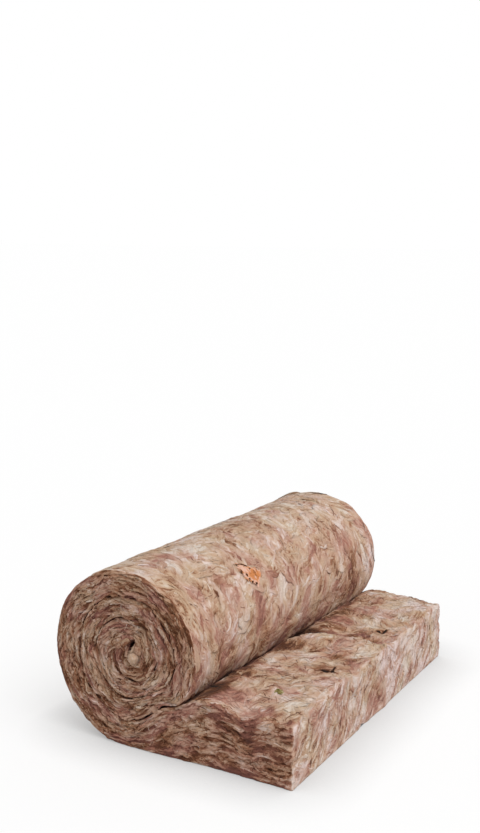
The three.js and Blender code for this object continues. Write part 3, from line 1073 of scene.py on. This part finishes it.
def add_layer(name, kinds, seed, per_square_metre, style, material):
    """Strands of one style, scattered over the faces of some kinds."""
    random = np.random.default_rng(seed)
    counts = {kind: round(per_square_metre * WOOL[kind].area) for kind in kinds}
    parts = [strokes(kind, scatter(kind, counts[kind], random), random, style) for kind in kinds]
    return add_joined(name, parts, material)


def plain(*values):
    """A paint whose tone, rose and grain are the same everywhere."""
    return lambda kind, a, b: [0 * a + value for value in values]


def line_strands(kind, line, v, count, random, style):
    """Strands laid along a line on a face, given as u and w of both ends and half its width. The
    style's length and width are shares of the line's length and half width."""
    u0, w0, u1, w1, half = line[:5]
    angle, reach = math.atan2(w1 - w0, u1 - u0), math.hypot(u1 - u0, w1 - w0)
    share, aside = random.uniform(0.35, 0.65, count), random.uniform(-0.4, 0.4, count) * half
    starts = (u0 + share * (u1 - u0) - aside * math.sin(angle), np.full(count, v),
              w0 + share * (w1 - w0) + aside * math.cos(angle))
    style = style._replace(length=style.length * reach, width=style.width * half, avoid=(),
                           aim=lambda kind, a, b: np.full(np.shape(a), angle))
    return strokes(kind, starts, random, style)


# ---- flecks of dyed wool in the blanket ----------------------------------------------------
# u and w round the orange fleck, from its wing's tip
ORANGE_FLECK = ((0.7265, 0.1895), (0.7330, 0.1872), (0.7420, 0.1852), (0.7515, 0.1862), (0.7650, 0.2035),
                (0.7570, 0.2195), (0.7505, 0.2275), (0.7450, 0.2205), (0.7385, 0.2105))
ORANGE_BOX_U, ORANGE_BOX_W = (0.724, 0.767), (0.178, 0.229)
ORANGE_CORE = (0.7495, 0.2095, 0.0080, 0.0085)
ORANGE_FOOT, ORANGE_AIM = (0.7690, 0.2055), (0.7750, 0.2055)
ORANGE_TRIES = 1400
# dark lines on it: u and w of both ends, and half width; the first is painted shadow along the wing's upper
# edge
ORANGE_LINES = (
    (0.7245, 0.1875, 0.7395, 0.2090, 0.0014),
    (0.7383, 0.2070, 0.7420, 0.2062, 0.0012),
    (0.7335, 0.1855, 0.7443, 0.1840, 0.0010),
    (0.7403, 0.1890, 0.7517, 0.1900, 0.0010),
    (0.7507, 0.1890, 0.7546, 0.1910, 0.0020),
    (0.7556, 0.1930, 0.7596, 0.1940, 0.0022),
    (0.7596, 0.1990, 0.7645, 0.2010, 0.0022),
)
GREEN_FLECK, GREEN_DARK = (0.0690, 0.0860), (0.0710, 0.0860, 0.0035, 0.0035)
GREEN_COUNT, GREEN_SPREAD = 40, 0.0020


def inside_outline(outline, u, w):
    """Whether each place lies inside a convex outline."""
    signs = [(u1 - u0) * (w - w0) - (w1 - w0) * (u - u0)
             for (u0, w0), (u1, w1) in zip(outline, outline[1:] + outline[:1])]
    return (np.min(signs, 0) > 0) | (np.max(signs, 0) < 0)


def add_orange_fleck(material):
    """A torn tuft of orange fibre with a paler wing and dark lines."""
    random = np.random.default_rng(21)

    def aim(kind, a, b):
        return np.arctan2(ORANGE_AIM[1] - b, ORANGE_AIM[0] - a)

    def paint(kind, a, b):
        core = np.clip(1.6 * blob(a, b, *ORANGE_CORE), 0, 1)
        ray, reach = aim(kind, a, b), np.hypot(ORANGE_FOOT[1] - b, ORANGE_FOOT[0] - a)
        return 1.2 * noise(ray / 0.11, reach / 0.014, 0, 82) + 1.0 - 1.2 * core, core, 1 + 0 * a

    u, w = random.uniform(*ORANGE_BOX_U, ORANGE_TRIES), random.uniform(*ORANGE_BOX_W, ORANGE_TRIES)
    kept = inside_outline(ORANGE_FLECK, u, w)
    fibre = Style(0.010, 0.0020, 0.0013, 7, 5, 0.30, (0.2, 2.0), 0.25, aim=aim, paint=paint)
    dark = Style(0.80, 0.9, 0.0008, lift=(5.2, 6.4), paint=plain(-2.6, 0, 1))
    parts = [strokes(SKIN, (u[kept], np.ones(kept.sum()), w[kept]), random, fibre)]
    parts += [line_strands(SKIN, line, 1.0, 4, random, dark) for line in ORANGE_LINES]
    return add_joined("wool_fleck_orange", parts, material)


def add_green_fleck(material):
    """A pellet of olive green fibre."""
    random = np.random.default_rng(22)

    def paint(kind, a, b):
        tone = 0.7 - 1.6 * blob(a, b, *GREEN_DARK) + 0.2 * noise(a / 0.003, b / 0.003, 0, 83)
        return tone, 0 * a, 1 + 0 * a

    u, w = (at + random.normal(0, GREEN_SPREAD, GREEN_COUNT) for at in GREEN_FLECK)
    fibre = Style(0.0080, 0.0030, 0.0020, stray=0.8, lift=(0.2, 0.9), tone_spread=0.2, paint=paint)
    return add_joined("wool_fleck_green", [strokes(TOP, (u, 0 * u, w), random, fibre)], material)


# ---- painted shade in the tears, and loose wool at the core --------------------------------
BALL_ROWS, BALL_SIDES = 17, 28
CORE_TRIES = 20000


def add_slit_shade(material):
    """Nearly black strands laid at the bottom of the tears in the tail's top, as painted shade."""
    random = np.random.default_rng(23)
    # painted shade: nearly black strands in the tears
    dark = Style(0.80, 0.6, 0.0012, lift=(0.8, 1.8), paint=plain(-3.4, 0, 0.3))
    parts = [line_strands(TOP, slit, 0.0, 7, random, dark) for slit in TAIL_SLITS]
    return add_joined("wool_slit_shade", parts, material)


def wool_ball(centre, reach, tone, rose, seed):
    """A lumpy closed ball of wool, its fibres wound round the y axis: points, faces and fields."""
    rows, sides = BALL_ROWS, BALL_SIDES
    polar = np.repeat(np.pi * (np.arange(rows) + 1) / (rows + 1), sides)
    around = np.tile(2 * np.pi * np.arange(sides) / sides, rows)
    polar, around = np.append(polar, (0, np.pi)), np.append(around, (0, 0))
    way = np.stack([np.sin(polar) * np.cos(around), -np.cos(polar), np.sin(polar) * np.sin(around)], 1)
    lumps = 1 + 0.26 * layered(*(way.T * 1.9), seed, octaves=3)
    points = np.array(centre) + way * lumps[:, None] * reach
    front, rear, last_row = rows * sides, rows * sides + 1, (rows - 1) * sides
    faces = []
    for k in range(sides):
        after = (k + 1) % sides
        faces += [[front, k, after], [last_row + after, last_row + k, rear]]
        for row in range(0, last_row, sides):
            faces.append([row + k, row + sides + k, row + sides + after, row + after])
    streak = noise(polar * 5 + around, around * 0.6, 0, seed + 1)
    same = np.ones(len(points))
    flow = np.stack([around * 0.010, polar * 0.014, seed * same], 1)
    # side 1: painted darker like the rolled ends, partly as painted shade
    return points, faces, {"flow": flow, "tone": tone + 0.9 * streak, "rose": rose * same, "side": same,
                           "grain": 0.8 * same, "facing": np.zeros((len(points), 3))}


def add_core_wool(material):
    """Two balls of wool just below the bore's mouth, loose fibres round the paler one, and loose
    wool over the seam's gap above the mouth."""
    random = np.random.default_rng(24)
    parts = [wool_ball((ROLL_X + x, NEAR_Y - proud, ROLL_Z + z), reach, tone, rose, 90 + k)
             for k, (x, z, proud, reach, tone, rose) in enumerate(CORE_BALLS)]
    places = np.array(scatter(NEAR_END, CORE_TRIES, random))
    across, up = from_axis(smooth_place(places[0], places[1], 0.0)[0])
    knob_x, knob_z, reach = CORE_LUMPS[0][:3]
    near = np.hypot(across - knob_x, up - knob_z) < 1.1 * reach
    over = slit_distance(CORE_ARC, across, up) < 1

    def paint(kind, a, b):
        return 0.7 + 0.5 * noise(a / 0.004, b / 0.004, 0, 85), 0 * a - 0.6, 0 * a + 0.6

    tuft = Style(0.010, 0.0022, 0.0010, stray=0.9, past=0.004, paint=paint)
    cover = Style(0.016, 0.0045, 0.0012, stray=0.35, lift=(0.4, 1.6), past=0.004)
    parts.append(strokes(NEAR_END, tuple(places[:, near]), random, tuft))
    parts.append(strokes(NEAR_END, tuple(places[:, over]), random, cover))
    return add_joined("wool_core_tuft", parts, material)


# ---- materials -----------------------------------------------------------------------------
# the darkest end of the wool's ramp, reached mostly by painted shade, as in the tears
NEARLY_BLACK = (0.020, 0.010, 0.006)
DEEP_BROWN = (0.120, 0.044, 0.020)
BROWN = (0.345, 0.166, 0.091)
TAN = (0.545, 0.372, 0.262)
CREAM = (0.716, 0.606, 0.540)
ROSE = (0.400, 0.190, 0.155)
MAUVE_TINT = (1.020, 0.970, 1.030)
KHAKI_TINT = (0.990, 1.010, 0.960)
# warmer, deeper tint of the rolled ends: partly their own look, partly painted shade
END_SHADE_TINT = (1.012, 0.958, 0.940)
SHEEN_TINT = (0.74, 0.72, 0.72, 1)
ORANGE_SHADES = ((0.095, 0.030, 0.007), (0.640, 0.250, 0.090), (0.760, 0.480, 0.370))
GREEN_SHADES = ((0.050, 0.038, 0.008), (0.225, 0.180, 0.060), (0.480, 0.400, 0.220))
WHITE, BLACK = (1.0, 1.0, 1.0), (0.0, 0.0, 0.0)
# the floor as the camera sees it, and as it throws light back
FLOOR_SEEN, FLOOR_LIT = (0.97, 0.97, 0.97), (0.80, 0.80, 0.80)
FLOOR_GLOW = 0.60
CONTACT_REACH = 0.105
CONTACT_SHADE = 0.53


class Tree:
    """Small helper that adds and links the nodes of a material or a world."""

    def __init__(self, owner):
        owner.use_nodes = True
        self.nodes, self.links = owner.node_tree.nodes, owner.node_tree.links

    def feed(self, node, inputs):
        """Link or set a node's inputs, given in order or by name or number."""
        for key, value in inputs.items() if isinstance(inputs, dict) else enumerate(inputs):
            if isinstance(value, bpy.types.NodeSocket):
                self.links.new(value, node.inputs[key])
            else:
                node.inputs[key].default_value = value
        return node

    def add(self, kind, inputs=(), **settings):
        node = self.nodes.new("ShaderNode" + kind)
        for key, value in settings.items():
            setattr(node, key, value)
        return self.feed(node, inputs)

    def math(self, operation, a, b=0.0, c=0.0):
        return self.add("Math", (a, b, c), operation=operation).outputs[0]

    def vector(self, operation, a, b):
        second = 3 if operation == "SCALE" else 1
        return self.add("VectorMath", {0: a, second: b}, operation=operation).outputs[0]

    def field(self, name, output="Fac"):
        return self.add("Attribute", attribute_name=name).outputs[output]

    def noise(self, vector, scale, detail=3.0, distortion=0.0, output="Fac"):
        place_at = self.vector("MULTIPLY", vector, scale)
        inputs = {"Vector": place_at, "Scale": 1.0, "Detail": detail, "Distortion": distortion}
        return self.add("TexNoise", inputs).outputs[output]

    def remap(self, value, low, high, to_low=0.0, to_high=1.0):
        inputs = (value, low, high, to_low, to_high)
        return self.add("MapRange", inputs, interpolation_type="SMOOTHSTEP").outputs[0]

    def mix(self, share, a, b, blend="MIX"):
        a, b = (shade if isinstance(shade, bpy.types.NodeSocket) else (*shade, 1) for shade in (a, b))
        return self.add("Mix", {0: share, 6: a, 7: b}, data_type="RGBA", blend_type=blend).outputs[2]


def centred(tree, value):
    """A noise's value about 0."""
    return tree.math("SUBTRACT", value, 0.5)


def wool_material():
    """Matted mineral wool: patches from the colour fields, with their painted light and shade, fine fibres
    along the flow with painted shade in the cracks between them, and the rolled ends painted darker and
    warmer, partly as painted shade.
    """
    material = bpy.data.materials.new("matted_wool")
    tree = Tree(material)
    flow, side = tree.field("flow", "Vector"), tree.field("side")
    tone, rose, grain = tree.field("tone"), tree.field("rose"), tree.field("grain")
    warp = tree.vector("SUBTRACT", tree.noise(flow, (16, 40, 16), 2.0, output="Color"), (0.5, 0.5, 0.5))
    bent = tree.vector("ADD", flow, tree.vector("SCALE", warp, 0.08))
    fine = tree.noise(bent, (130, 620, 200), 4.0, 0.6)
    strand = tree.noise(bent, (50, 280, 80), 3.0, 1.0)
    wisp = tree.noise(bent, (32, 150, 50), 2.0, 1.0)
    # painted shade: thin dark lines in the cracks between the fibres, taken off the streaks
    crack_shade = tree.math("ABSOLUTE", centred(tree, tree.noise(bent, (45, 210, 60), 2.0, 0.8)))
    crack_shade = tree.math("MULTIPLY", tree.remap(crack_shade, 0.025, 0.0), tree.remap(strand, 0.60, 0.45))
    streak = tree.math("MULTIPLY", centred(tree, strand), 1.9)
    streak = tree.math("MULTIPLY_ADD", centred(tree, wisp), 1.4, streak)
    streak = tree.math("MULTIPLY_ADD", centred(tree, fine), 1.8, streak)
    streak = tree.math("MULTIPLY_ADD", crack_shade, -0.8, streak)
    light = tree.math("MULTIPLY_ADD", streak, grain, tone)
    # the rolled ends, where side is 1, are painted darker and warmer: partly the fibre ends' own darker
    # look, partly painted shade
    light = tree.math("SUBTRACT", light, tree.math("MULTIPLY", side, 0.55))
    colour = tree.mix(tree.remap(light, -3.4, -2.2), NEARLY_BLACK, DEEP_BROWN)
    for low, high, shade in ((-1.7, -0.5, BROWN), (-1.0, 0.15, TAN), (0.0, 1.5, CREAM)):
        colour = tree.mix(tree.remap(light, low, high), colour, shade)
    blush = tree.math("MULTIPLY", tree.remap(rose, 0.05, 0.9), tree.remap(light, 0.9, -0.4))
    colour = tree.mix(tree.math("MULTIPLY", blush, 0.4), colour, ROSE)
    tint = tree.mix(tree.remap(rose, -1.0, 1.0), KHAKI_TINT, MAUVE_TINT)
    colour = tree.mix(1.0, colour, tint, "MULTIPLY")
    colour = tree.mix(side, colour, tree.mix(1.0, colour, END_SHADE_TINT, "MULTIPLY"))
    height = tree.math("MULTIPLY_ADD", fine, 0.6, strand)
    bump = tree.add("Bump", {"Strength": 0.6, "Distance": 0.004, "Height": height})
    tree.feed(tree.nodes["Principled BSDF"], {
        "Base Color": colour, "Roughness": 0.92, "Specular IOR Level": 0.05, "Normal": bump.outputs[0],
        "Sheen Weight": 0.07, "Sheen Tint": SHEEN_TINT, "Sheen Roughness": 0.6})
    return material


def dyed_material(name, shades):
    """Dyed fibres in three shades, dark, middle and pale, with fine streaks along them."""
    material = bpy.data.materials.new(name)
    tree = Tree(material)
    fine = tree.noise(tree.field("flow", "Vector"), (90, 380, 90), 4.0, 0.5)
    light = tree.math("MULTIPLY_ADD", centred(tree, fine), 3.0, tree.field("tone"))
    colour = tree.mix(tree.remap(light, -1.3, -0.2), shades[0], shades[1])
    colour = tree.mix(tree.remap(light, 0.1, 1.3), colour, shades[2])
    bump = tree.add("Bump", {"Strength": 0.5, "Distance": 0.002, "Height": fine})
    tree.feed(tree.nodes["Principled BSDF"], {
        "Base Color": colour, "Roughness": 0.85, "Specular IOR Level": 0.15, "Normal": bump.outputs[0]})
    return material


def seen_directly(tree):
    """1 for rays from the camera, a mirror or glass, and 0 for the light that falls on things."""
    rays = tree.add("LightPath").outputs
    either = tree.math("MAXIMUM", rays["Is Camera Ray"], rays["Is Glossy Ray"])
    return tree.math("MAXIMUM", either, rays["Is Transmission Ray"])


def floor_material():
    """Pale floor, nearly white where it is seen directly: it keeps the lamps' shadow, softened by
    a glow, and is painted darker close to what stands on it, a contact shade from ambient occlusion."""
    material = bpy.data.materials.new("pale_floor")
    tree = Tree(material)
    seen = seen_directly(tree)
    open_sky = tree.add("AmbientOcclusion", {"Distance": CONTACT_REACH}, samples=8).outputs["AO"]
    shade = tree.math("MULTIPLY", tree.math("SUBTRACT", 1.0, open_sky), CONTACT_SHADE)
    colour = tree.mix(seen, FLOOR_LIT, tree.mix(shade, FLOOR_SEEN, BLACK))
    matt = tree.nodes["Principled BSDF"]
    tree.feed(matt, {"Base Color": colour, "Roughness": 0.9, "Specular IOR Level": 0.0})
    glow = tree.add("Emission", {"Color": tree.mix(shade, WHITE, BLACK)})
    share = tree.math("MULTIPLY", seen, FLOOR_GLOW)
    mixed = tree.add("MixShader", (share, matt.outputs[0], glow.outputs[0]))
    tree.feed(tree.nodes["Material Output"], (mixed.outputs[0],))
    return material


# ---- stage ---------------------------------------------------------------------------------
IMAGE_HEIGHT = 833
FOCAL_PIXELS = 1150.5
SENSOR_HEIGHT = 36.0
AZIMUTH, ELEVATION = 31.42, 9.64
CAMERA_PLACE = Vector((0.9419, -1.6359, 0.7989))
FARTHEST_SEEN = 100
WORLD_LIGHT = 0.50
KEY_FROM = Vector((0.95, -0.25, 1.40))
KEY_POWER = 2.0
KEY_SPREAD = 50
FLOOR_REACH = 30.0


def add_camera():
    """The photo's view."""
    data = bpy.data.cameras.new("camera")
    data.sensor_fit = "VERTICAL"
    data.sensor_height = SENSOR_HEIGHT
    data.lens = SENSOR_HEIGHT * FOCAL_PIXELS / IMAGE_HEIGHT
    data.clip_end = FARTHEST_SEEN
    a, e = math.radians(AZIMUTH), math.radians(ELEVATION)
    back = Vector((math.sin(a) * math.cos(e), -math.cos(a) * math.cos(e), math.sin(e)))
    right = Vector((math.cos(a), math.sin(a), 0))
    turn = Matrix((right, back.cross(right), back)).transposed().to_4x4()
    camera = add_object("camera", data)
    camera.matrix_world = Matrix.Translation(CAMERA_PLACE) @ turn
    bpy.context.scene.camera = camera


def add_sun(name, direction, power, spread):
    """A lamp whose light comes from a direction, spread over an angle in degrees."""
    data = bpy.data.lights.new(name, "SUN")
    data.energy, data.angle = power, math.radians(spread)
    add_object(name, data).rotation_euler = direction.to_track_quat("Z", "Y").to_euler()


def add_floor():
    """Wide floor for the picture only."""
    mesh = bpy.data.meshes.new("floor")
    corners = [(x * FLOOR_REACH, y * FLOOR_REACH, 0) for x, y in ((-1, -1), (1, -1), (1, 1), (-1, 1))]
    mesh.from_pydata(corners, [], [(0, 1, 2, 3)])
    mesh.materials.append(floor_material())
    floor = add_object("floor", mesh)


def add_world():
    """White surroundings, dimmer as a lamp than they look."""
    world = bpy.data.worlds.new("world")
    bpy.context.scene.world = world
    tree = Tree(world)
    strength = tree.remap(seen_directly(tree), 0, 1, WORLD_LIGHT, 1)
    tree.feed(tree.nodes["Background"], ((*WHITE, 1), strength))


add_camera()
add_floor()
add_sun("key", KEY_FROM, KEY_POWER, KEY_SPREAD)
add_world()
bpy.context.scene.view_settings.view_transform = "Standard"
wool = wool_material()
sheet_blanket(wool)
for layer in LAYERS:
    add_layer(*layer, wool)
add_slit_shade(wool)
add_core_wool(wool)
add_orange_fleck(dyed_material("orange_fibre", ORANGE_SHADES))
add_green_fleck(dyed_material("green_fibre", GREEN_SHADES))
